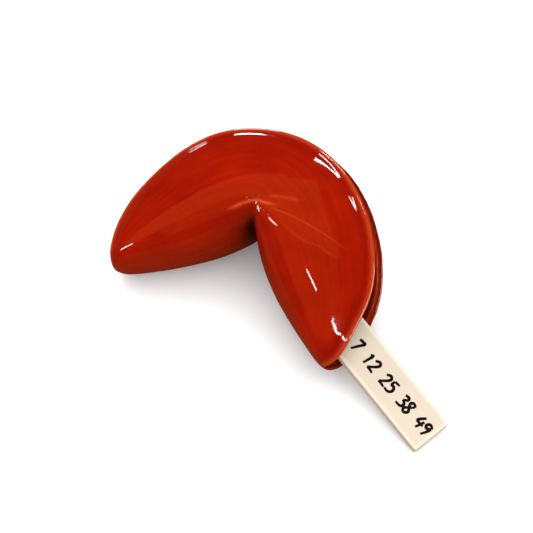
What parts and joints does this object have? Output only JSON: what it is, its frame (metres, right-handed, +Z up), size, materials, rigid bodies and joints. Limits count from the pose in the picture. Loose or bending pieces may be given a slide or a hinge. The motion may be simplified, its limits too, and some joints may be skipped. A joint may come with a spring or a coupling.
{
  "type": "ceramic fortune cookie",
  "caption": "Glazed ceramic fortune cookie: a folded hollow shell lying on its side, with a flat message slip sliding out of one tip.",
  "frame": {"origin": "the middle of the whole object's box, on the surface it stands on", "axes": "+Z up from the surface; +Y from the crease between the legs towards the middle of the rim; +X towards the leg that holds the slip"},
  "size_m": [0.1618, 0.0926, 0.0509],
  "materials": {
    "red_glaze": "deep red high-gloss glaze, thinner and darker at the lips and at the crest",
    "cream_clay": "smooth unglazed cream clay with soft edges",
    "black_ink": "black brushed underglaze numbers on the slip"
  },
  "bodies": {
    "root": {"cookie_shell": "red_glaze", "message_slip": "cream_clay"}
  },
  "joints": []
}
